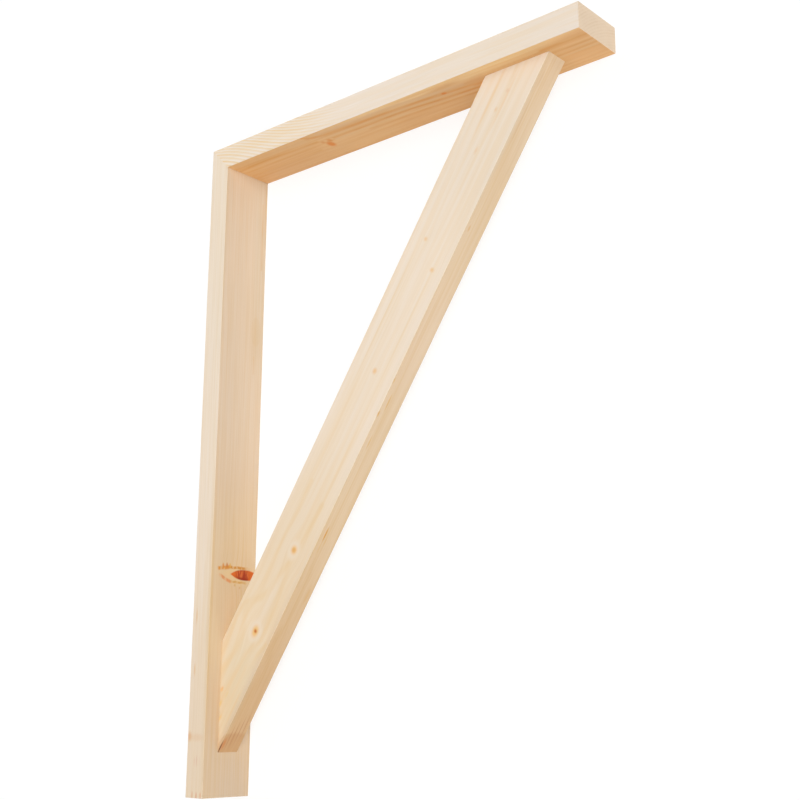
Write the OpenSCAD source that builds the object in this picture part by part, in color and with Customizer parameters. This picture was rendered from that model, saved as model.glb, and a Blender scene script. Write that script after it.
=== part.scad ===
// Timber knee bracket of three dressed softwood boards, lying on its side.
// X runs out from the wall along the arm, Y up the wall along the leg, and Z across the boards.
// The origin is in the middle of the outer sizes, on the side that the bracket lies on.

/* [Bracket] */
// Height of the bracket, from the foot of the leg to the top of the arm
bracket_height = 1016; // [700:0.1:1400]
// Depth of the bracket, from the back of the leg to the outer end of the arm
bracket_depth = 711.2; // [450:0.1:1000]

/* [Leg and arm] */
// Width of the leg and the arm across their flat faces
rail_width = 88.9; // [60:0.1:140]
// Thickness of the leg and the arm
rail_thickness = 38.1; // [25:0.1:60]

/* [Brace] */
// Width of the brace in the plane of the bracket
brace_width = 88.9; // [50:0.1:140]
// Thickness of the brace across the bracket
brace_thickness = 38.1; // [25:0.1:60]
// Length of leg left bare below the toe of the brace
toe_clear = 63.5; // [20:0.1:200]
// Length of arm left bare beyond the head of the brace
head_clear = 63.5; // [20:0.1:200]

/* [Edges] */
// Radius of the eased long edges of the boards
edge_radius = 1; // [0.5:0.1:4]

/* [Hidden] */
$fn = 48;

// Length by which a cutter passes the faces that it leaves alone
overrun = 5;

// Planes of the outer faces, and of the inner faces that the brace meets
back_x = -bracket_depth / 2;
end_x = bracket_depth / 2;
foot_y = -bracket_height / 2;
top_y = bracket_height / 2;
inner_x = back_x + rail_thickness;
inner_y = top_y - rail_thickness;

// Corner joint: one sloping cut from the outer corner to the inner one
mitre_angle = 45;
mitre_length = rail_thickness / cos(mitre_angle);

// Lower edge of the brace, from its toe on the leg to its head on the arm
toe_y = foot_y + toe_clear;
head_x = end_x - head_clear;
brace_run = head_x - inner_x;
brace_rise = inner_y - toe_y;
brace_angle = atan2(brace_rise, brace_run);
brace_length = norm([brace_run, brace_rise]);

// Rectangle with eased corners, from the origin along both axes
module eased_section(depth, width) {
    translate([edge_radius, 0])
        square([depth - 2 * edge_radius, width]);
    translate([0, edge_radius])
        square([depth, width - 2 * edge_radius]);
    for (x = [edge_radius, depth - edge_radius], y = [edge_radius, width - edge_radius])
        translate([x, y])
            circle(r = edge_radius);
}

// Board along X, with its depth along Y and its width along Z
module board(length, depth, width) {
    rotate([90, 0, 90])
        linear_extrude(height = length)
            eased_section(depth, width);
}

// Block that stands on the mitre plane, on the side of the arm or of the leg
module mitre_block(arm_side) {
    translate([back_x, top_y, -overrun])
        rotate([0, 0, -mitre_angle])
            translate([-overrun, arm_side ? 0 : -rail_thickness, 0])
                cube([mitre_length + 2 * overrun, rail_thickness, rail_width + 2 * overrun]);
}

// Upright board that lies against the wall, square at its foot and mitred at its top
module leg() {
    color([0.90, 0.82, 0.70])
        difference() {
            translate([inner_x, foot_y, 0])
                rotate([0, 0, 90])
                    board(bracket_height, rail_thickness, rail_width);
            mitre_block(true);
        }
}

// Level board that carries the load, mitred at the wall and square at its outer end
module arm() {
    color([0.93, 0.86, 0.76])
        difference() {
            translate([back_x, inner_y, 0])
                board(bracket_depth, rail_thickness, rail_width);
            mitre_block(false);
        }
}

// Slanting board on edge, in the middle of the width, cut to the leg at its toe and to the arm at its head
module brace() {
    color([0.93, 0.87, 0.78])
        intersection() {
            translate([inner_x, toe_y, (rail_width - brace_thickness) / 2])
                rotate([0, 0, brace_angle])
                    translate([-overrun, 0, 0])
                        board(brace_length + 2 * overrun, brace_width, brace_thickness);
            translate([inner_x, foot_y, -overrun])
                cube([bracket_depth, inner_y - foot_y, rail_width + 2 * overrun]);
        }
}

leg();
arm();
brace();
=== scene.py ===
from math import atan2, radians, tan

import bpy
import numpy as np
from mathutils import Matrix, Vector


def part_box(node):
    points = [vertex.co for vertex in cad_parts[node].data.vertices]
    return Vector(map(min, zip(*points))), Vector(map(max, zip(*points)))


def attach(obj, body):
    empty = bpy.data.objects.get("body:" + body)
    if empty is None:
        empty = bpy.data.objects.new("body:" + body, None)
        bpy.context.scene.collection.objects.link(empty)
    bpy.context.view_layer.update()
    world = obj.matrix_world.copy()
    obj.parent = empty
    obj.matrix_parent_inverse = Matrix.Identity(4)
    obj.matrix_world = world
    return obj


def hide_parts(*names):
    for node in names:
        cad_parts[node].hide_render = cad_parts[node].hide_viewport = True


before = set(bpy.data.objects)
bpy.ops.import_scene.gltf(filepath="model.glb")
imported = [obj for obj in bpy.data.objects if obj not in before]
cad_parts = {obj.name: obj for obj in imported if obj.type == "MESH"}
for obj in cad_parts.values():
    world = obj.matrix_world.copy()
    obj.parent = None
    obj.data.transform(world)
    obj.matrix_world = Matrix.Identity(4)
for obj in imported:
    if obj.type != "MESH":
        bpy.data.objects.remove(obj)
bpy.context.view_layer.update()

mm = 0.001                      # meshes are in metres, wood patterns in millimetres
scene = bpy.context.scene
scene.view_settings.view_transform = "Standard"

# Light that reaches a face, where 1 shows a colour as it is written
front = 1.065                   # the leg's front
knee = 0.98 * front             # the same beside the brace
under = 0.895                   # the arm's underside
low = 1.145                     # the brace's lower face


# Small helpers for node trees

def addNode(tree, kind, values=None, **settings):
    # one node: settings are its own properties, values go to its inputs by name or number
    node = tree.nodes.new("ShaderNode" + kind)
    for key, value in settings.items():
        setattr(node, key, value)
    for key, value in (values or {}).items():
        if isinstance(value, bpy.types.NodeSocket):
            tree.links.new(value, node.inputs[key])
        else:
            node.inputs[key].default_value = value
    return node


def sums(tree, operation, *values):
    # a Math node on numbers or sockets
    return addNode(tree, "Math", dict(enumerate(values)), operation=operation).outputs[0]


def vectors(tree, operation, *values):
    # a Vector Math node; the ones that give a number have it on their second output
    node = addNode(tree, "VectorMath", dict(enumerate(values)), operation=operation)
    return node.outputs[1 if operation in ("DOT_PRODUCT", "LENGTH", "DISTANCE") else 0]


def blend(tree, factor, first, second, way="MIX"):
    # a colour Mix node
    node = addNode(tree, "Mix", {0: factor, 6: first, 7: second}, data_type="RGBA", blend_type=way)
    return node.outputs[2]


def smoothRange(tree, value, least, most, start=0.0, end=1.0):
    # a value eased from start to end while the input goes from least to most
    values = {"Value": value, "From Min": least, "From Max": most, "To Min": start, "To Max": end}
    return addNode(tree, "MapRange", values, interpolation_type="SMOOTHSTEP").outputs["Result"]


def noise(tree, place, pitch, detail=2.0, output="Fac"):
    # Noise Texture with its own pitch in millimetres along, across and through the board
    stretched = vectors(tree, "DIVIDE", place, pitch)
    values = {"Vector": stretched, "Scale": 1.0, "Detail": detail, "Roughness": 0.55}
    return addNode(tree, "TexNoise", values).outputs[output]


def srgb(red, green, blue, light=1.0):
    # a colour from 0 to 255, as it shows on a face that gets that share of the light, made linear for nodes
    seen = np.array([red, green, blue]) / 255
    linear = np.where(seen <= 0.04045, seen / 12.92, ((seen + 0.055) / 1.055) ** 2.4)
    return (*(linear / light).tolist(), 1.0)


def newMaterial(name):
    # a material with an empty node tree
    material = bpy.data.materials.new(name)
    material.use_nodes = True
    material.node_tree.nodes.clear()
    return material


# Where each board lies: its corner, the three directions of its grain, and how its ends are cut

legLow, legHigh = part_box("leg")
armLow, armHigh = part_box("arm")
braceLow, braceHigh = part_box("brace")
stockWidth = legHigh.z - legLow.z
stockThickness = legHigh.x - legLow.x
xAxis, yAxis, zAxis = np.eye(3)

braceLean = atan2(braceHigh.y - braceLow.y, braceHigh.x - braceLow.x)   # slope of its lower edge
braceAlong = np.array([np.cos(braceLean), np.sin(braceLean), 0])
braceAcross = np.array([-np.sin(braceLean), np.cos(braceLean), 0])

# start and end give where the cut leaves the grain: a base, then its rise for each unit across and through
legPlace = {
    "corner": np.array([legLow.x, legLow.y, legLow.z]),
    "along": yAxis, "across": zAxis, "through": xAxis,
    "width": stockWidth, "thickness": stockThickness,
    "start": (0, 0, 0), "end": (legHigh.y - legLow.y, 0, -1),
    "startEase": 0.4 * mm, "endEase": 0.02 * mm,
}
armPlace = {
    "corner": np.array([armLow.x, armHigh.y, armLow.z]),
    "along": xAxis, "across": zAxis, "through": -yAxis,
    "width": stockWidth, "thickness": stockThickness,
    "start": (0, 0, 1), "end": (armHigh.x - armLow.x, 0, 0),
    "startEase": 0.02 * mm, "endEase": 0.4 * mm,
}
bracePlace = {
    "corner": np.array([braceLow.x, braceLow.y, braceLow.z]),
    "along": braceAlong, "across": braceAcross, "through": zAxis,
    "width": stockWidth, "thickness": braceHigh.z - braceLow.z,
    "start": (0, tan(braceLean), 0),
    "end": ((braceHigh.y - braceLow.y) / np.sin(braceLean), -1 / tan(braceLean), 0),
    "startEase": 0.35 * mm, "endEase": 0.2 * mm,
}


# Board meshes

boardMesh = {
    "edgeRadius": 1.0 * mm,     # eased long edges
    "edgeWander": 0.3,          # share by which the easing comes and goes along an edge
    "edgeWaves": ((31 * mm, 1.7), (83 * mm, 2.9)),   # length for a radian, and the next edge's lead
    "pitch": 5.0 * mm,          # of the grid
    "arcSteps": 6,              # faces round an eased edge
    "capRings": 5,              # from the rim of a cut end to its middle
}


def easedSection(width, thickness, radius):
    # Closed outline of the section. A point is a fixed part plus the edge radius times a turning part:
    # on a flat only its place counts, on a corner it is the corner plus (cosine - side, sine - side) radii.
    arcSteps, pitch = boardMesh["arcSteps"], boardMesh["pitch"]
    angles = np.linspace(0, np.pi / 2, arcSteps + 1)
    clear = 2 * radius                                            # flats begin past the widest easing
    fixed, turning, corner = [], [], []
    for turn, (b, c) in enumerate(((1, 1), (0, 1), (0, 0), (1, 0))):
        here = np.array([b * width, c * thickness])
        arc = np.stack([np.cos(angles + turn * np.pi / 2), np.sin(angles + turn * np.pi / 2)], 1)
        run = (width, thickness)[turn % 2] - 2 * clear            # flat from this corner to the next one
        steps = np.linspace(clear, clear + run, int(run / pitch) + 2)[:, None]
        heading = np.array(((-1, 0), (0, -1), (1, 0), (0, 1))[turn])
        fixed += [np.tile(here, (arcSteps + 1, 1)), here + heading * steps]
        turning += [arc - (2 * b - 1, 2 * c - 1), np.zeros((len(steps), 2))]
        corner.append(np.full(arcSteps + 1 + len(steps), turn))
    return np.concatenate(fixed), np.concatenate(turning), np.concatenate(corner)


def cutPlace(cut, section):
    # place along the grain where a sloping cut meets each point of the section
    base, perAcross, perThrough = cut
    return base + perAcross * section[..., 0] + perThrough * section[..., 1]


def buildBoard(name, place):
    # Section carried along the grain: a point is corner + along * a + across * b + through * c, where
    # (b, c) runs round the eased outline and a goes from the start cut to the end cut. The easing varies
    # by a sum of sines. The caps shrink the outline to the middle of the section, on the plane of the cut.
    radius = boardMesh["edgeRadius"]
    fixed, turning, corner = easedSection(place["width"], place["thickness"], radius)
    length = place["end"][0]
    middle = np.array([place["width"], place["thickness"]]) / 2
    share = np.concatenate([[0], np.linspace(0, 1, int(length / boardMesh["pitch"])), [1]])[:, None]
    waves = boardMesh["edgeWaves"]
    wave = sum(np.sin(share * length / radian + corner * lead) for radian, lead in waves)
    grown = radius * (1 + boardMesh["edgeWander"] * wave / len(waves))
    section = fixed + grown[..., None] * turning
    inset = np.zeros_like(share)
    for ring, second, ease in ((0, 1, place["startEase"]), (-1, -2, place["endEase"])):
        section[ring] = middle + (section[ring] - middle) * (1 - ease / middle)   # inside the broken arris
        inset[second] = ease if ring == 0 else -ease
    start, end = cutPlace(place["start"], section), cutPlace(place["end"], section)
    along = start + (end - start) * share + inset
    rings, around = along.shape

    grid = np.concatenate([section, along[..., None]], 2)
    caps = []
    for ring, cut in ((0, "start"), (-1, "end")):
        sizes = np.linspace(1, 0, boardMesh["capRings"] + 1)[1:-1, None, None]
        flat = middle + (section[ring] - middle) * sizes
        flat = np.concatenate([flat.reshape(-1, 2), middle[None]])
        caps.append(np.concatenate([flat, cutPlace(place[cut], flat)[:, None]], 1))
    points = np.concatenate([grid.reshape(-1, 3)] + caps)
    basis = np.stack([place["across"], place["through"], place["along"]])
    vertices = place["corner"] + points @ basis

    index = np.arange(rings * around).reshape(rings, around)
    following = np.roll(index, -1, 1)
    quads = [np.stack([index[:-1], following[:-1], following[1:], index[1:]], -1).reshape(-1, 4)]
    fans = []
    capCount = (boardMesh["capRings"] - 1) * around + 1
    for end, first in ((0, rings * around), (1, rings * around + capCount)):
        inner = first + np.arange(capCount - 1).reshape(-1, around)
        layers = np.concatenate([index[[-end]], inner])
        onward = np.roll(layers, -1, 1)
        quad = np.stack([layers[:-1], layers[1:], onward[1:], onward[:-1]], -1).reshape(-1, 4)
        fan = np.stack([layers[-1], np.full(around, first + capCount - 1), onward[-1]], -1)
        quads.append(quad[:, ::-1] if end else quad)
        fans.append(fan[:, ::-1] if end else fan)
    faces = [face for block in quads + fans for face in block.tolist()]

    mesh = bpy.data.meshes.new(name)
    mesh.from_pydata(vertices.tolist(), [], faces)
    onArc = np.abs(turning).max(1) > 0
    smooth = np.zeros(len(faces), bool)
    smooth[:(rings - 1) * around] = np.tile(onArc, rings - 1)     # only the eased edges
    mesh.polygons.foreach_set("use_smooth", smooth)
    mesh.validate()
    mesh.update()
    board = bpy.data.objects.new(name, mesh)
    scene.collection.objects.link(board)
    print(name, "has", len(faces), "faces")
    return board


# Softwood, with what all the boards share

planed = {
    "facing": (0.55, 0.85),                         # cosines between which a face comes to look one way
    "ringRise": 0.15,                               # part of a ring at which it begins to darken
    "bandPitch": (260, 50, 50),                     # millimetres along, across and through, as all pitches
    "streaks": (0.36, 0.68),                        # noise levels from none to full, here and below
    "patchPitch": (280, 16, 16), "patches": (0.38, 0.62),
    "gapPitch": (50, 8, 8), "gaps": (0.34, 0.6), "leastLine": 0.45, "lineCore": 0.1,
    "fibrePitch": (70, 0.9, 0.9), "cloudPitch": (240, 40, 40),
    "fibres": (0.2, 0.8), "roughness": (0.52, 0.68), "specular": 0.3,
    "relief": 0.05 * mm, "reliefStrength": 0.25, "ringRelief": 0.5,
}


def boardGrain(tree, place):
    # object coordinates turned into millimetres along, across and through the board
    here = addNode(tree, "TexCoord").outputs["Object"]
    here = vectors(tree, "SUBTRACT", here, place["corner"])
    parts = [vectors(tree, "DOT_PRODUCT", here, place[way] / mm) for way in ("along", "across", "through")]
    return addNode(tree, "CombineXYZ", dict(enumerate(parts))).outputs[0]


def split(tree, vector):
    # the three parts of a vector
    return addNode(tree, "SeparateXYZ", {0: vector}).outputs


def reach(tree, grain, at, size):
    # distance from a point, in units of its own size along, across and through
    offset = vectors(tree, "SUBTRACT", grain, at)
    return vectors(tree, "LENGTH", vectors(tree, "DIVIDE", offset, size))


def lineReach(tree, grain, points):
    # distance in millimetres from the nearest straight run between the points, seen square to the flat:
    # offset from the run's start less the run times its share, (offset . run) / (run . run) from 0 to 1
    flat = vectors(tree, "MULTIPLY", grain, (1, 1, 0))
    nearest = None
    for start, end in zip(points, points[1:]):
        run = np.array([end[0] - start[0], end[1] - start[1], 0])
        offset = vectors(tree, "SUBTRACT", flat, (*start, 0))
        share = vectors(tree, "DOT_PRODUCT", offset, run / (run @ run))
        share = addNode(tree, "Clamp", {0: share}).outputs[0]
        closest = addNode(tree, "VectorMath", {0: run, "Scale": share}, operation="SCALE").outputs[0]
        apart = vectors(tree, "DISTANCE", offset, closest)
        nearest = apart if nearest is None else sums(tree, "MINIMUM", nearest, apart)
    return nearest


def bell(tree, distance):
    # e to the minus square of the distance
    return sums(tree, "EXPONENT", sums(tree, "MULTIPLY", sums(tree, "MULTIPLY", distance, distance), -1.0))


def flowRound(tree, grain, eddies):
    # grain parts round a knot: a place is drawn in across the board to the knot's own line, by pull * bell
    bent = grain
    for at, size, pull in eddies:
        near = sums(tree, "MULTIPLY", bell(tree, reach(tree, grain, at, size)), pull)
        offset = vectors(tree, "MULTIPLY", vectors(tree, "SUBTRACT", at, grain), (0, 1, 0))
        near = addNode(tree, "CombineXYZ", {0: near, 1: near, 2: near}).outputs[0]
        bent = vectors(tree, "MULTIPLY_ADD", offset, near, bent)
    return bent


def ringCount(tree, grain, look, onEdge):
    # distance from the pith, whose line leans and wanders, plus each lift on the board's edges, in rings
    wander = noise(tree, grain, look["wanderPitch"], 1.0, "Color")
    wander = vectors(tree, "SUBTRACT", wander, (0.5, 0.5, 0.5))
    bent = vectors(tree, "MULTIPLY_ADD", wander, (0, look["wander"], look["wander"]), grain)
    lean = vectors(tree, "SCALE", (0, *look["lean"]))
    tree.links.new(split(tree, grain)[0], lean.node.inputs["Scale"])
    fromPith = vectors(tree, "ADD", vectors(tree, "SUBTRACT", bent, (0, *look["pith"])), lean)
    distance = vectors(tree, "LENGTH", vectors(tree, "MULTIPLY", fromPith, (0, 1, 1)))
    for at, size, lift in look["lifts"]:
        raised = sums(tree, "MULTIPLY", bell(tree, reach(tree, grain, at, size)), onEdge)
        distance = sums(tree, "MULTIPLY_ADD", raised, lift, distance)
    return sums(tree, "DIVIDE", distance, look["ringWidth"])


def lateWood(tree, count, seed, least, crest):
    # each ring darkens up to its crest, then fades; rings differ in how dark they get, by their number
    part = sums(tree, "FRACT", count)
    rise = smoothRange(tree, part, planed["ringRise"], crest)
    fall = smoothRange(tree, part, crest, 1.0, 1.0, 0.0)
    ringNumber = sums(tree, "ADD", sums(tree, "FLOOR", count), seed)
    strength = addNode(tree, "TexWhiteNoise", {"W": ringNumber}, noise_dimensions="1D").outputs["Value"]
    strength = smoothRange(tree, strength, 0.0, 1.0, least, 1.0)
    return sums(tree, "MULTIPLY", sums(tree, "MULTIPLY", rise, fall), strength)


def faceShare(tree, place, way, side=0):
    # 1 on the face that looks along a direction of the board (side 1), against it (-1) or on both (0),
    # and 0 elsewhere, from the cosine between the two
    normal = addNode(tree, "TexCoord").outputs["Normal"]
    facing = vectors(tree, "DOT_PRODUCT", normal, place[way] * (side or 1))
    if side == 0:
        facing = sums(tree, "ABSOLUTE", facing)
    return smoothRange(tree, facing, *planed["facing"])


def eyeKnot(tree, grain, colour, eye):
    # A knot cut lengthways. Inside measure: |along| / width + |across / length| ^ taper + (through / depth)
    # squared, which makes an almond with a pointed end. A lash is a broken band beside it that bends in
    # towards the point: along = base + slope * (across - bend), where across is past the bend. It has one
    # colour on each side of that.
    along, across, through = split(tree, vectors(tree, "SUBTRACT", grain, eye["at"]))
    deep = sums(tree, "POWER", sums(tree, "DIVIDE", through, eye["depth"]), 2.0)
    tall = sums(tree, "ABSOLUTE", sums(tree, "DIVIDE", across, eye["length"]))
    tall = sums(tree, "POWER", tall, eye["taper"])
    flat = sums(tree, "DIVIDE", sums(tree, "ABSOLUTE", along), eye["width"])
    inner = sums(tree, "ADD", sums(tree, "ADD", flat, tall), deep)
    haloAt = reach(tree, grain, *eye["haloAt"])
    amount = smoothRange(tree, haloAt, eye["core"], 1.0, eye["haloShare"], 0.0)
    colour = blend(tree, amount, colour, eye["halo"])
    surface = smoothRange(tree, sums(tree, "ABSOLUTE", through), *eye["skin"], 1.0, 0.0)
    wobble = noise(tree, grain, eye["wobblePitch"], 1.0)
    wobble = sums(tree, "MULTIPLY_ADD", wobble, 2 * eye["wobble"], -eye["wobble"])
    for lash in eye["lashes"]:
        past = sums(tree, "SUBTRACT", across, lash["bend"])
        line = sums(tree, "MULTIPLY_ADD", sums(tree, "MAXIMUM", past, 0.0), lash["slope"], lash["base"])
        apart = sums(tree, "ABSOLUTE", sums(tree, "ADD", sums(tree, "SUBTRACT", along, line), wobble))
        outer = smoothRange(tree, past, -eye["turn"], eye["turn"])
        wide = sums(tree, "MULTIPLY_ADD", outer, lash["widths"][1] - lash["widths"][0], lash["widths"][0])
        apart = sums(tree, "DIVIDE", apart, wide)
        amount = smoothRange(tree, apart, eye["core"], 1.0, lash["strength"], 0.0)
        amount = sums(tree, "MULTIPLY", amount, surface)
        amount = sums(tree, "MULTIPLY", amount, smoothRange(tree, across, *lash["from"]))
        amount = sums(tree, "MULTIPLY", amount, smoothRange(tree, across, *lash["to"], 1.0, 0.0))
        broken = noise(tree, grain, lash["gapPitch"], 1.0)
        broken = smoothRange(tree, broken, *eye["gaps"], lash["least"], 1.0)
        amount = sums(tree, "MULTIPLY", amount, broken)
        colour = blend(tree, amount, colour, blend(tree, outer, *lash["colours"]))
    for at, size, tint, strength, core in eye["ticks"]:
        amount = smoothRange(tree, reach(tree, grain, at, size), core, 1.0, strength, 0.0)
        colour = blend(tree, amount, colour, tint)

    streaky = smoothRange(tree, noise(tree, grain, eye["streakPitch"], 2.0), *eye["streaks"])
    heart = blend(tree, streaky, *eye["heart"])
    below = smoothRange(tree, along, *eye["rimBelow"])
    lowerRim = sums(tree, "MULTIPLY", smoothRange(tree, inner, *eye["rimFrom"]), below)
    heart = blend(tree, sums(tree, "MULTIPLY", lowerRim, eye["rimShare"]), heart, eye["rim"])
    for start, end, share in eye["tips"]:
        heart = blend(tree, smoothRange(tree, across, start, end, 0.0, share), heart, eye["tip"])
    return blend(tree, smoothRange(tree, inner, *eye["border"], 1.0, 0.0), colour, heart)


def softwood(name, place, look):
    # Wood of one board: its early colour goes over to its late one by rings * ring share + streaks * streak
    # share, times the values of fibres and clouds. Stains and patches of painted light and shade multiply
    # that, and lines, among them a painted contact shadow, marks and the knot are laid over it.
    material = newMaterial(name)
    tree = material.node_tree
    grain = boardGrain(tree, place)
    onToneAndShade, onEnd = faceShare(tree, place, *look["toneAndShade"]), faceShare(tree, place, "along")

    def pick(choice):
        # a colour or a number by kind of face: edge, face with painted shade or end grain
        if isinstance(choice["edge"], tuple):
            return blend(tree, onEnd, blend(tree, onToneAndShade, choice["edge"], choice["toneAndShade"]), choice["end"])
        flat = addNode(tree, "Mix", {0: onToneAndShade, 2: choice["edge"], 3: choice["toneAndShade"]}).outputs[0]
        return addNode(tree, "Mix", {0: onEnd, 2: flat, 3: choice["end"]}).outputs[0]

    flowing = flowRound(tree, grain, look["eddies"])
    onEdge = sums(tree, "LESS_THAN", sums(tree, "MAXIMUM", onToneAndShade, onEnd), 0.5)
    onFlat, onBack = faceShare(tree, place, "through", 1), faceShare(tree, place, "through", -1)
    count = ringCount(tree, flowing, look, onEdge)
    if "bands" in look:                                           # even rings along the face with painted shade
        slope, pitch = look["bands"]
        even = vectors(tree, "DOT_PRODUCT", flowing, (slope / pitch, 1 / pitch, 0))
        even = sums(tree, "ADD", even, noise(tree, flowing, planed["bandPitch"], 1.0))
        count = addNode(tree, "Mix", {0: onToneAndShade, 2: count, 3: even}).outputs[0]
    rings = lateWood(tree, count, look["seed"], look["leastRing"], pick(look["crest"]))
    streaks = smoothRange(tree, noise(tree, flowing, look["streakPitch"], 2.0), *planed["streaks"])
    fibres = noise(tree, flowing, planed["fibrePitch"], 3.0)
    clouds = noise(tree, grain, planed["cloudPitch"], 1.0)

    ringShare = sums(tree, "MULTIPLY", rings, pick(look["rings"]))
    patches = noise(tree, flowing, planed["patchPitch"], 1.0)
    patches = smoothRange(tree, patches, *planed["patches"], look["patchy"], 1.0)
    ringShare = sums(tree, "MULTIPLY", ringShare, sums(tree, "MAXIMUM", patches, onEdge))
    backShare = smoothRange(tree, onBack, 0.0, 1.0, 1.0, look["backRings"])
    ringShare = sums(tree, "MULTIPLY", ringShare, backShare)
    if "fade" in look:                                            # rings that thin out along the edges
        fade = smoothRange(tree, split(tree, grain)[0], *look["fade"])
        fade = sums(tree, "MAXIMUM", fade, sums(tree, "MAXIMUM", onToneAndShade, onEnd))
        ringShare = sums(tree, "MULTIPLY", ringShare, fade)
    depth = sums(tree, "MULTIPLY_ADD", streaks, pick(look["streaks"]), ringShare)
    colour = blend(tree, depth, pick(look["early"]), pick(look["late"]))
    fibreValue = sums(tree, "MULTIPLY_ADD", fibres, look["fibres"], 1 - look["fibres"] / 2)
    cloudValue = sums(tree, "MULTIPLY_ADD", clouds, look["clouds"], 1 - look["clouds"] / 2)
    value = sums(tree, "MULTIPLY", fibreValue, cloudValue)
    colour = vectors(tree, "SCALE", colour)
    tree.links.new(value, colour.node.inputs["Scale"])

    for at, size, gain, core in look["stainsLightAndShade"]:
        amount = smoothRange(tree, reach(tree, grain, at, size), core, 1.0, 1.0, 0.0)
        if max(gain) > 1:                                         # paler patches, the painted light by the brace among them, stay on the face with painted shade
            amount = sums(tree, "MULTIPLY", amount, onToneAndShade)
        colour = blend(tree, amount, colour, (*gain, 1), "MULTIPLY")
    broken = noise(tree, grain, planed["gapPitch"], 1.0)
    broken = smoothRange(tree, broken, *planed["gaps"], planed["leastLine"], 1.0)
    broken = sums(tree, "MULTIPLY", broken, onFlat)
    for points, width, tint, strength in look["lines"]:
        core = planed["lineCore"] * width
        amount = smoothRange(tree, lineReach(tree, grain, points), core, width, strength, 0.0)
        colour = blend(tree, sums(tree, "MULTIPLY", amount, broken), colour, tint)
    for at, size, tint, strength, core in look["marks"]:
        amount = smoothRange(tree, reach(tree, grain, at, size), core, 1.0, strength, 0.0)
        colour = blend(tree, amount, colour, tint)
    if "eye" in look:
        colour = eyeKnot(tree, grain, colour, look["eye"])

    roughness = smoothRange(tree, fibres, *planed["fibres"], *planed["roughness"])
    height = sums(tree, "MULTIPLY_ADD", rings, planed["ringRelief"], fibres)
    relief = {"Height": height, "Strength": planed["reliefStrength"], "Distance": planed["relief"]}
    bump = addNode(tree, "Bump", relief)
    shader = addNode(tree, "BsdfPrincipled", {"Base Color": colour, "Roughness": roughness,
                                              "Normal": bump.outputs[0],
                                              "Specular IOR Level": planed["specular"]})
    out = addNode(tree, "OutputMaterial")
    tree.links.new(shader.outputs[0], out.inputs["Surface"])
    return material


# How the looks below are written: places and reaches are millimetres along, across and through the board.
# An eddy or a lift is (centre, reach, amount), a stain or a patch of painted light and shade (centre,
# reach, gain by colour, solid core), a line (points along and across, half width, tint, strength), a mark
# (centre, reach, tint, strength, solid core).
# The faces with painted shade are named by direction and side: their darker, warmer colours are mostly
# painted shade of faces turned from the light, partly the board's own tone. "bands" is the slope and pitch
# of even rings, and "fade" the stretch along which rings thin out, with their share before and after it.

# Leg

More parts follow.
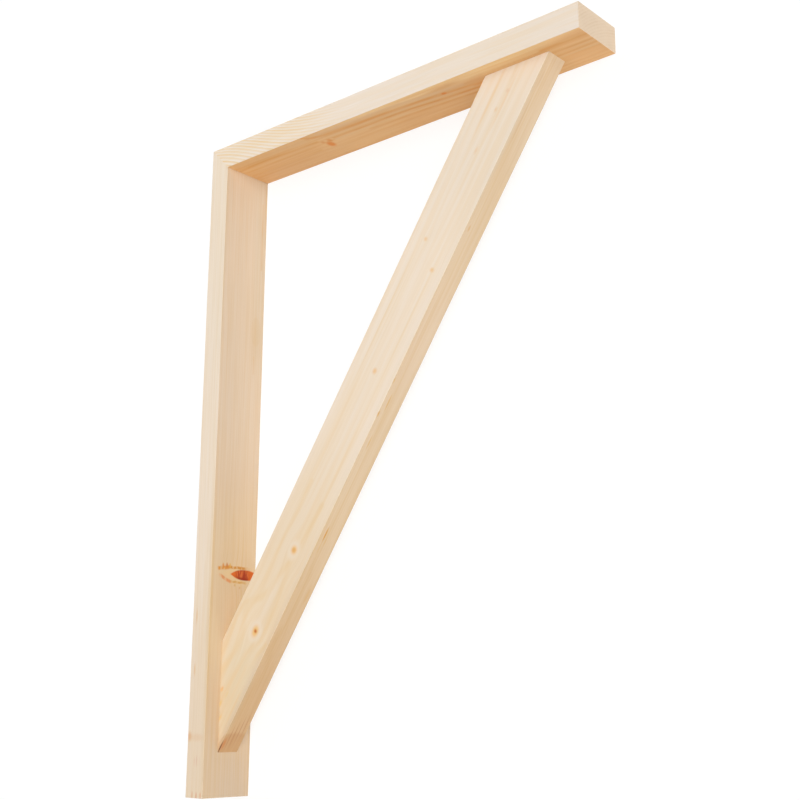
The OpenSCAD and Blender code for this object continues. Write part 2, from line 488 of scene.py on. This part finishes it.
legLook = {
    "pith": (-140, 12), "lean": (0, 0), "ringWidth": 4.2, "seed": 3, "leastRing": 0.2,
    "wanderPitch": (320, 90, 90), "wander": 9.0,
    "eddies": [((325, 20, 38), (24, 40, 30), 0.3)], "lifts": [],
    # the leg's front and back: colours mostly painted shade, partly the board's own tone
    "toneAndShade": ("through", 0),
    "early": {"edge": srgb(239, 223, 205), "toneAndShade": srgb(227, 205, 180, front),
              "end": srgb(228, 204, 170, front)},
    "late": {"edge": srgb(233, 211, 180), "toneAndShade": srgb(221, 189, 144, front),
             "end": srgb(206, 168, 122, front)},
    "rings": {"edge": 0.3, "toneAndShade": 0.2, "end": 0.6}, "streaks": {"edge": 0.45, "toneAndShade": 0.34, "end": 0.1},
    "crest": {"edge": 0.86, "toneAndShade": 0.7, "end": 0.86},
    "lines": [
        ([(824, 8.5), (936, 9)], 3.0, srgb(218, 181, 132, front), 0.6),
        ([(646, 19), (674, 19)], 2.6, srgb(221, 182, 132, front), 0.6),
    ],
    "streakPitch": (160, 3.2, 3.2), "fibres": 0.1, "clouds": 0.05, "patchy": 1.0, "backRings": 3.0,
    "stainsLightAndShade": [
        ((0, 44, 19), (560, 400, 400), (0.935, 0.885, 0.80), 0.0),       # honey towards the foot
        ((0, 34, 38), (90, 50, 10), (0.965, 0.98, 1.03), 0.2),
        ((1016, 20, 38), (190, 60, 14), (0.95, 0.965, 0.965), 0.0),      # painted shade at the top, under the arm
        # painted contact shadow on the leg's front where the arm's underside meets it
        ((980, 44, 38), (8, 300, 6), (0.90, 0.84, 0.74), 0.0),
        ((300, 44, 38), (185, 200, 6), (1.055, 1.09, 1.065), 0.3),       # painted light on the leg's front by the brace, lifting its shade
        ((350, 30, 38), (190, 90, 24), (0.97, 0.92, 0.84), 0.0),         # golden wood round the knot
        ((250, 89, 38), (420, 9, 9), (0.96, 0.91, 0.80), 0.0),
        ((694, 16, 38), (60, 13, 8), (0.985, 0.96, 0.91), 0.2),          # honey patch that stops short
        ((716, 16.5, 38), (26, 11, 8), (0.985, 0.965, 0.92), 0.88),
        ((850, 6, 38), (280, 30, 8), (0.955, 0.975, 0.975), 0.3),        # deeper tone higher up
        ((880, 89, 19), (300, 6, 60), (0.965, 0.96, 0.93), 0.4),
        ((930, 2, 38), (120, 8, 8), (0.96, 0.90, 0.80), 0.0),
    ],
    "marks": [
        ((4, 89, 15), (8, 5, 2.4), srgb(222, 178, 142), 0.8, 0.3),       # flecks on the side
        ((3, 89, 24), (8, 5, 2.4), srgb(220, 170, 138), 0.9, 0.3),
        ((4, 89, 33), (7, 5, 2.8), srgb(224, 178, 142), 0.8, 0.3),
        ((52, 89, 22), (12, 5, 2.2), srgb(222, 184, 158), 0.7, 0.2),
        ((51, 89, 17), (10, 5, 2.0), srgb(226, 190, 164), 0.6, 0.2),
        ((52, 89, 28), (10, 5, 2.4), srgb(228, 196, 172), 0.4, 0.2),
        ((86, 89, 4), (10, 6, 8), srgb(220, 170, 122), 0.75, 0.1),
        ((85, 89, 20), (8, 5, 24), srgb(226, 190, 152), 0.45, 0.2),
        ((182, 89, 9), (14, 5, 2.6), srgb(226, 188, 140), 0.75, 0.2),
        ((261, 89, 9), (16, 5, 2.4), srgb(226, 188, 140), 0.75, 0.2),
    ],
    "eye": {
        "at": (325.3, 22, 38.1), "width": 8.2, "length": 29.3, "depth": 16.0, "taper": 2.4,
        "border": (0.84, 1.12),                                          # inside measure where it ends
        "halo": srgb(230, 201, 151, knee), "haloShare": 0.75, "haloAt": ((325, 36, 38), (17, 50, 10)),
        "core": 0.3,                                                     # solid share of halo and lashes
        "skin": (2.0, 8.0),                                              # depth at which the lashes go out
        "wobble": 1.2, "wobblePitch": (30, 6, 30), "turn": 4.0, "gaps": (0.36, 0.56),
        "lashes": [
            {"base": 10.3, "slope": -0.145, "bend": 30, "from": (-14, 6), "to": (51, 57),
             "widths": (3.0, 4.2), "gapPitch": (9, 3.6, 9), "least": 0.45, "strength": 0.95,
             "colours": (srgb(206, 142, 60, knee), srgb(217, 148, 62, knee))},
            {"base": -11.7, "slope": 0.357, "bend": 28, "from": (-8, 6), "to": (46, 54),
             "widths": (2.6, 4.0), "gapPitch": (9, 4.5, 9), "least": 0.4, "strength": 0.9,
             "colours": (srgb(210, 162, 86, knee), srgb(222, 148, 94, knee))},
        ],
        "ticks": [
            ((337.0, 66, 38), (5.5, 2.8, 6), srgb(219, 148, 78, knee), 0.85, 0.3),
            ((337.4, 58.6, 38), (6.0, 3.2, 6), srgb(206, 126, 62, knee), 0.8, 0.3),
            ((338.0, 52.6, 38), (5.0, 2.6, 6), srgb(228, 178, 90, knee), 0.8, 0.3),
            ((332.5, 74, 38), (3.8, 3.4, 6), srgb(222, 150, 62, knee), 0.8, 0.3),
            ((308.9, 42, 38), (3.0, 2.6, 6), srgb(210, 172, 112, knee), 0.7, 0.2),
            ((305.5, 32, 38), (3.0, 2.4, 6), srgb(214, 172, 120, knee), 0.6, 0.2),
        ],
        "heart": (srgb(162, 54, 20, knee), srgb(206, 104, 50, knee)),
        "streakPitch": (9, 2.4, 4), "streaks": (0.38, 0.62),
        "rim": srgb(150, 42, 12, knee), "rimFrom": (0.25, 0.8), "rimBelow": (0.5, -2.0), "rimShare": 0.9,
        "tip": srgb(220, 110, 38, knee), "tips": [(9.0, 25.0, 0.9), (-4.0, -10.0, 0.75)],
    },
}
leg = buildBoard("wallLeg", legPlace)
leg.data.materials.append(softwood("legSoftwood", legPlace, legLook))

# Arm

armLook = {
    "pith": (0, 178), "lean": (0.067, 0), "ringWidth": 4.0, "seed": 11, "leastRing": 0.6,
    "wanderPitch": (400, 110, 110), "wander": 5.0,
    "eddies": [((229, 46, 38), (26, 13, 20), 0.4)],
    "lifts": [((-30, 96, 0), (185, 11, 100), -84)],
    # the arm's underside: darker, warmer colours, mostly painted shade, partly the board's own tone
    "toneAndShade": ("through", 1), "fade": (150, 330, 1.0, 0.06),
    "early": {"edge": srgb(237, 223, 208), "toneAndShade": srgb(216, 173, 121, under),
              "end": srgb(230, 207, 180, front)},
    "late": {"edge": srgb(233, 202, 150), "toneAndShade": srgb(201, 137, 68, under),
             "end": srgb(218, 190, 155, front)},
    "rings": {"edge": 0.95, "toneAndShade": 0.22, "end": 0.5}, "streaks": {"edge": 0.2, "toneAndShade": 0.25, "end": 0.1},
    "crest": {"edge": 0.86, "toneAndShade": 0.55, "end": 0.86}, "bands": (0.03, 9.5),
    "streakPitch": (140, 7, 7), "fibres": 0.1, "clouds": 0.05, "patchy": 0.5, "backRings": 0.55,
    "stainsLightAndShade": [
        ((490, 104, 38), (300, 42, 3), (1.17, 1.34, 1.52), 0.55),        # paler along the lower arris
        ((40, 0, 38), (270, 84, 20), (0.905, 0.88, 0.895), 0.2),         # darker towards the leg
        ((430, 6, 38), (160, 42, 8), (0.965, 0.95, 0.945), 0.2),
        ((560, 89, 19), (190, 5, 60), (1.0, 0.99, 0.96), 0.3),
        ((690, 44, 38), (60, 300, 3), (1.08, 1.06, 1.06), 0.3),
    ],
    "lines": [
        ([(205, 87), (211, 82), (222, 76.5), (238, 72.5), (290, 70.5), (370, 68), (400, 66), (430, 63.5),
          (460, 59.5), (490, 57), (542, 50)],                            # dark ring over the knot
         4.8, srgb(209, 142, 68, under), 0.65),
        ([(245, 57.5), (310, 55.7), (370, 55), (400, 53.8), (460, 47.8), (534, 42)],
         3.8, srgb(206, 144, 76, under), 0.9),
        ([(310, 44), (370, 41.7), (430, 38.5), (526, 32)], 3.8, srgb(205, 146, 82, under), 0.75),
        ([(232, 83), (340, 78), (400, 75), (440, 71), (500, 65)], 7.0, srgb(215, 176, 131, under), 0.85),
        ([(245, 64), (370, 61), (430, 57.5), (510, 51)], 3.8, srgb(214, 173, 125, under), 0.9),
        ([(245, 50.5), (370, 48), (430, 44.3), (525, 38)], 3.8, srgb(214, 174, 126, under), 0.95),
        ([(45, 66.5), (110, 66.5), (215, 62.5)],                         # rings by the leg
         4.6, srgb(205, 145, 76, under), 0.75),
        ([(45, 80), (200, 78)], 9.0, srgb(213, 173, 124, under), 0.6),
        ([(45, 59), (200, 58.5)], 3.6, srgb(211, 169, 121, under), 0.55),
        ([(45, 52.5), (200, 51.5)], 4.0, srgb(204, 149, 84, under), 0.5),
        ([(45, 39), (200, 38)], 4.0, srgb(204, 149, 84, under), 0.5),
        ([(45, 28), (200, 28)], 3.6, srgb(204, 150, 88, under), 0.4),
        ([(640, 71.5), (709, 71.5)],                                     # rings past the brace
         6.0, srgb(210, 146, 76, under), 0.7),
        ([(648, 55), (709, 55)], 3.5, srgb(206, 148, 84, under), 0.6),
        ([(648, 44), (709, 44)], 3.5, srgb(206, 148, 84, under), 0.6),
        ([(645, 49.5), (709, 49.5)], 3.0, srgb(214, 175, 128, under), 0.5),
        ([(645, 38.5), (709, 38.5)], 3.0, srgb(214, 175, 128, under), 0.5),
    ],
    "marks": [
        ((227, 44, 38), (9, 13, 9), srgb(209, 126, 50, under), 0.9, 0.3),       # knot and its wings
        ((221, 56, 38), (6, 6, 8), srgb(206, 140, 76, under), 0.7, 0.2),
        ((234, 55, 38), (6.5, 8, 8), srgb(207, 134, 62, under), 0.75, 0.2),
        ((465, 60.5, 38), (6.5, 4.5, 6), srgb(212, 130, 56, under), 0.9, 0.3),  # pin knot
        ((476, 76, 38), (46, 7, 6), srgb(207, 154, 98, under), 0.6, 0.1),
    ],
}
arm = buildBoard("topArm", armPlace)
arm.data.materials.append(softwood("armSoftwood", armPlace, armLook))

# Brace

braceLook = {
    "pith": (-30, -95), "lean": (0, 0), "ringWidth": 4.6, "seed": 5, "leastRing": 0.1,
    "wanderPitch": (300, 80, 80), "wander": 6.0,
    "eddies": [((184.6, 35.3, 38), (38, 30, 80), 0.75), ((320.7, 34.2, 38), (36, 26, 80), 0.7),
               ((606, 40, 38), (16, 9, 30), 0.4), ((770, 23, 38), (14, 8, 30), 0.4),
               ((803, 59.5, 38), (14, 8, 30), 0.4)],
    "lifts": [],
    # the brace's lower and upper edge faces: colours mostly painted shade, partly the board's own tone
    "toneAndShade": ("across", 0),
    "early": {"edge": srgb(240, 223, 203), "toneAndShade": srgb(231, 206, 174, low),
              "end": srgb(230, 205, 172, front)},
    "late": {"edge": srgb(235, 207, 165), "toneAndShade": srgb(220, 182, 128, low),
             "end": srgb(208, 170, 124, front)},
    "rings": {"edge": 0.15, "toneAndShade": 0.2, "end": 0.6}, "streaks": {"edge": 0.32, "toneAndShade": 0.34, "end": 0.1},
    "crest": {"edge": 0.7, "toneAndShade": 0.7, "end": 0.86},
    "streakPitch": (260, 9, 9), "fibres": 0.1, "clouds": 0.04, "patchy": 1.0, "backRings": 1.5,
    "lines": [                                                           # rings that part round the knots
        ([(97, 64), (115, 60), (140, 55), (165, 57), (180, 64), (195, 70), (208, 71), (220, 65), (230, 54),
          (248, 44), (275, 40), (298, 32)], 9.0, srgb(232, 200, 150), 0.45),
        ([(60, 36), (105, 36.5), (150, 33), (165, 27), (182, 17), (205, 16.5), (242, 22), (280, 26),
          (298, 31), (340, 25), (400, 22)], 7.5, srgb(232, 199, 148), 0.48),
        ([(110, 76), (145, 76), (180, 83), (207, 79), (224, 67), (255, 63), (320, 63), (420, 61)],
         6.0, srgb(233, 202, 154), 0.42),
        ([(45, 22), (130, 21), (158, 13), (180, 5)], 6.0, srgb(231, 198, 146), 0.42),
        ([(0, 0), (133, 89)], 3.6, srgb(205, 170, 122), 0.6),            # painted contact shadow along the toe's cut, where it meets the leg
    ],
    "stainsLightAndShade": [
        ((0, 44, 19), (660, 400, 400), (0.955, 0.90, 0.78), 0.0),        # honey towards the toe
        ((0, 0, 10), (460, 14, 120), (0.88, 0.79, 0.72), 0.0),           # more of it along the bottom
        ((0, 0, 19), (37, 8, 60), (0.91, 0.83, 0.75), 0.8),
        ((330, 44, 38), (220, 300, 8), (0.985, 0.97, 0.94), 0.2),
        ((80, 35, 38), (110, 90, 8), (0.955, 0.985, 1.0), 0.4),
        ((1020, 44, 38), (260, 300, 10), (0.96, 0.965, 0.965), 0.3),
        ((675, 0, 19), (130, 10, 60), (1.02, 1.02, 1.05), 0.3),
    ],
    "marks": [
        ((184.6, 35.3, 38), (22, 19, 20), srgb(238, 221, 202), 0.6, 0.4),       # pale wood round two knots
        ((320.7, 34.2, 38), (20, 17, 20), srgb(238, 221, 202), 0.6, 0.4),
        ((184.3, 35.3, 38), (14.5, 10.5, 20), srgb(237, 188, 108), 0.95, 0.15), # and the knots
        ((184.6, 35.0, 38), (4.4, 5.0, 20), srgb(194, 102, 36), 0.95, 0.1),
        ((320.7, 34.2, 38), (10.5, 9.5, 20), srgb(238, 192, 126), 0.95, 0.15),
        ((320.4, 34.4, 38), (5.5, 6, 20), srgb(226, 168, 94), 0.8, 0.1),
        ((606.3, 40.3, 38), (7, 6.5, 12), srgb(236, 192, 136), 0.85, 0.1),      # three pin knots
        ((769.7, 23.2, 38), (5.5, 6.5, 12), srgb(238, 196, 140), 0.85, 0.1),
        ((803.5, 59.5, 38), (5, 5.5, 12), srgb(238, 200, 148), 0.8, 0.1),
        ((72, 10, 38), (50, 3, 8), srgb(230, 192, 132), 0.45, 0.1),             # streaks that taper
        ((1012, 60, 38), (80, 4.5, 8), srgb(232, 196, 144), 0.55, 0.1),
        ((1018, 36, 38), (62, 3.5, 8), srgb(232, 196, 148), 0.5, 0.1),
        ((430, 21.5, 38), (170, 4.5, 8), srgb(233, 202, 154), 0.4, 0.1),
        ((500, 62.5, 38), (200, 4.5, 8), srgb(234, 204, 158), 0.4, 0.1),
        ((680, 69, 38), (140, 2.8, 8), srgb(233, 204, 158), 0.5, 0.1),
        ((700, 61.5, 38), (130, 2.2, 8), srgb(234, 206, 164), 0.4, 0.1),
        ((690, 22, 38), (170, 3.2, 8), srgb(233, 204, 158), 0.5, 0.1),
        ((1003, 43, 38), (6, 4, 8), srgb(231, 194, 146), 0.6, 0.1),             # specks by the head
        ((1032, 38, 38), (5, 5, 8), srgb(228, 192, 158), 0.55, 0.1),
        ((942, 44, 38), (9, 3.5, 8), srgb(232, 196, 150), 0.55, 0.1),
        ((60, 37, 38), (9, 4, 8), srgb(230, 196, 118), 0.55, 0.1),              # specks by the toe
        ((43, 25, 38), (9, 3.5, 8), srgb(232, 194, 120), 0.55, 0.1),
        ((78, 33, 38), (11, 3, 8), srgb(231, 202, 136), 0.45, 0.1),
        ((98, 70, 38), (9, 2.6, 8), srgb(231, 202, 140), 0.4, 0.1),
        ((78.3, 46.5, 38), (7, 4.5, 8), srgb(234, 184, 118), 0.8, 0.1),
        ((240, 35, 38), (62, 9, 8), srgb(238, 220, 200), 0.4, 0.2),
        ((15, 0, 34.0), (15, 3, 4.5), srgb(206, 128, 70, low), 0.7, 0.2),       # dark tip of the toe
        ((9, -0.8, 38.0), (18, 2.2, 2.8), srgb(118, 64, 22, low), 0.9, 0.4),
        ((26, 0, 28), (30, 4, 1.7), srgb(184, 122, 78, low), 0.6, 0.1),         # rings on the lower face
        ((30, 0, 21.5), (34, 4, 1.8), srgb(184, 124, 80, low), 0.6, 0.1),
        ((38, 0, 14.5), (36, 4, 1.8), srgb(188, 130, 84, low), 0.6, 0.1),
        ((46, 0, 7.5), (36, 4, 2.0), srgb(188, 130, 84, low), 0.5, 0.1),
        ((268, 0, 8), (22, 4, 4), srgb(220, 174, 110, low), 0.5, 0.1),          # and its flecks
        ((345, 0, 28.6), (14, 4, 1.6), srgb(224, 182, 124, low), 0.6, 0.2),
        ((366, 0, 28.6), (16, 4, 2.2), srgb(218, 156, 68, low), 0.9, 0.3),
        ((355, 0, 22.5), (9, 4, 2.0), srgb(224, 180, 118, low), 0.5, 0.2),
        ((514, 0, 28.3), (15, 4, 2.0), srgb(224, 180, 116, low), 0.65, 0.2),
        ((558, 0, 36.5), (7, 4, 2.2), srgb(219, 164, 84, low), 0.7, 0.2),
        ((577, 0, 28), (18, 4, 2.0), srgb(225, 176, 104, low), 0.7, 0.2),
        ((610, 0, 36.4), (7, 4, 2.0), srgb(225, 178, 110, low), 0.6, 0.2),
        ((843, 0, 31), (7, 4, 2.6), srgb(221, 176, 120, low), 0.65, 0.2),
        ((1000, 0, 29.5), (50, 4, 2.8), srgb(206, 162, 116, low), 0.25, 0.2),
        ((1066, 0, 29), (20, 4, 2.4), srgb(206, 162, 116, low), 0.25, 0.2),
    ],
}
brace = buildBoard("diagonalBrace", bracePlace)
brace.data.materials.append(softwood("braceSoftwood", bracePlace, braceLook))

boards = ((leg, "leg", "leg_wood"), (arm, "arm", "arm_wood"), (brace, "brace", "brace_wood"))
for piece, node, slot in boards:
    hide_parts(node)
    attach(piece, "root")
print("boards dressed")


# White studio: floor, world and five broad lamps

studio = {
    "floorSize": 60.0,
    "floorBounce": 0.8,                             # grey that lights the boards
    "floorShade": 0.3,                              # grey that shows, and takes the shadow
    "openFloor": 0.90,                              # light on the floor clear of the boards
    "fill": 0.25,                                   # light from all round
    "lamps": [                                      # way it comes from, strength, spread in degrees, shadow
        ((0.62, 0.10, 0.78), 1.00, 30, True),
        ((0.35, -0.70, 0.62), 0.60, 40, True),
        ((-0.55, 0.40, 0.73), 0.35, 50, True),
        ((0.78, -0.52, 0.35), 1.05, 40, False),
        ((-0.72, 0.62, 0.31), 1.50, 40, False),
    ],
}


def seenDirectly(tree):
    # 1 for rays that show the background: from the camera, in a gloss, or through something clear
    path = addNode(tree, "LightPath")
    seen = sums(tree, "MAXIMUM", path.outputs["Is Camera Ray"], path.outputs["Is Glossy Ray"])
    return sums(tree, "MAXIMUM", seen, path.outputs["Is Transmission Ray"])


def whiteFloor():
    # a level square that shows as its grey in the light plus a glow, which comes to white in the open
    half = studio["floorSize"] / 2
    corners = [(-half, -half, 0), (half, -half, 0), (half, half, 0), (-half, half, 0)]
    mesh = bpy.data.meshes.new("floor")
    mesh.from_pydata(corners, [], [(0, 1, 2, 3)])
    material = newMaterial("floorWhite")
    tree = material.node_tree
    bounce, shade = studio["floorBounce"], studio["floorShade"]
    plain = addNode(tree, "BsdfDiffuse", {"Color": (bounce, bounce, bounce, 1)})
    shaded = addNode(tree, "BsdfDiffuse", {"Color": (shade, shade, shade, 1)})
    glow = addNode(tree, "Emission", {"Color": (1, 1, 1, 1), "Strength": 1 - shade * studio["openFloor"]})
    shown = addNode(tree, "AddShader", {0: shaded.outputs[0], 1: glow.outputs[0]})
    mixed = addNode(tree, "MixShader", {0: seenDirectly(tree), 1: plain.outputs[0], 2: shown.outputs[0]})
    out = addNode(tree, "OutputMaterial")
    tree.links.new(mixed.outputs[0], out.inputs["Surface"])
    mesh.materials.append(material)
    floor = bpy.data.objects.new("floor", mesh)
    scene.collection.objects.link(floor)


def lightStudio():
    # a world that shows as white and lights with the fill only, and the lamps as suns
    world = bpy.data.worlds.new("studio")
    world.use_nodes = True
    tree = world.node_tree
    tree.nodes.clear()
    strength = sums(tree, "MULTIPLY_ADD", seenDirectly(tree), 1 - studio["fill"], studio["fill"])
    sky = addNode(tree, "Background", {"Color": (1, 1, 1, 1), "Strength": strength})
    out = addNode(tree, "OutputWorld")
    tree.links.new(sky.outputs[0], out.inputs["Surface"])
    scene.world = world

    for number, (source, strength, spread, shadow) in enumerate(studio["lamps"]):
        light = bpy.data.lights.new(f"lamp{number}", "SUN")
        light.energy = strength
        light.use_shadow = shadow
        light.angle = radians(spread)
        lamp = bpy.data.objects.new(f"lamp{number}", light)
        lamp.rotation_euler = Vector(source).to_track_quat("Z", "Y").to_euler()
        scene.collection.objects.link(lamp)


whiteFloor()
lightStudio()
print("studio lit")


# Camera, at the photograph's viewing angle: it looks down on the bracket, with the leg upright in the view

view = {
    "place": (1.1577, -0.3808, 1.3516), "aim": (0.0165, 0.0390, 0.0445),   # metres
    "roll": radians(0.36),
    "lens": 57.49, "sensor": 36.0,                                         # millimetres
}


def placeCamera():
    # back points from the aim to the camera, right is Y cross back, up is back cross right; then the roll
    place, aim = Vector(view["place"]), Vector(view["aim"])
    back = (place - aim).normalized()
    right = Vector((0, 1, 0)).cross(back).normalized()
    up = back.cross(right)
    turned = Matrix((right, up, back)).transposed().to_4x4() @ Matrix.Rotation(view["roll"], 4, "Z")
    data = bpy.data.cameras.new("camera")
    data.lens, data.sensor_width = view["lens"], view["sensor"]
    camera = bpy.data.objects.new("camera", data)
    camera.matrix_world = Matrix.Translation(place) @ turned
    scene.collection.objects.link(camera)
    scene.camera = camera


placeCamera()
print("camera placed")
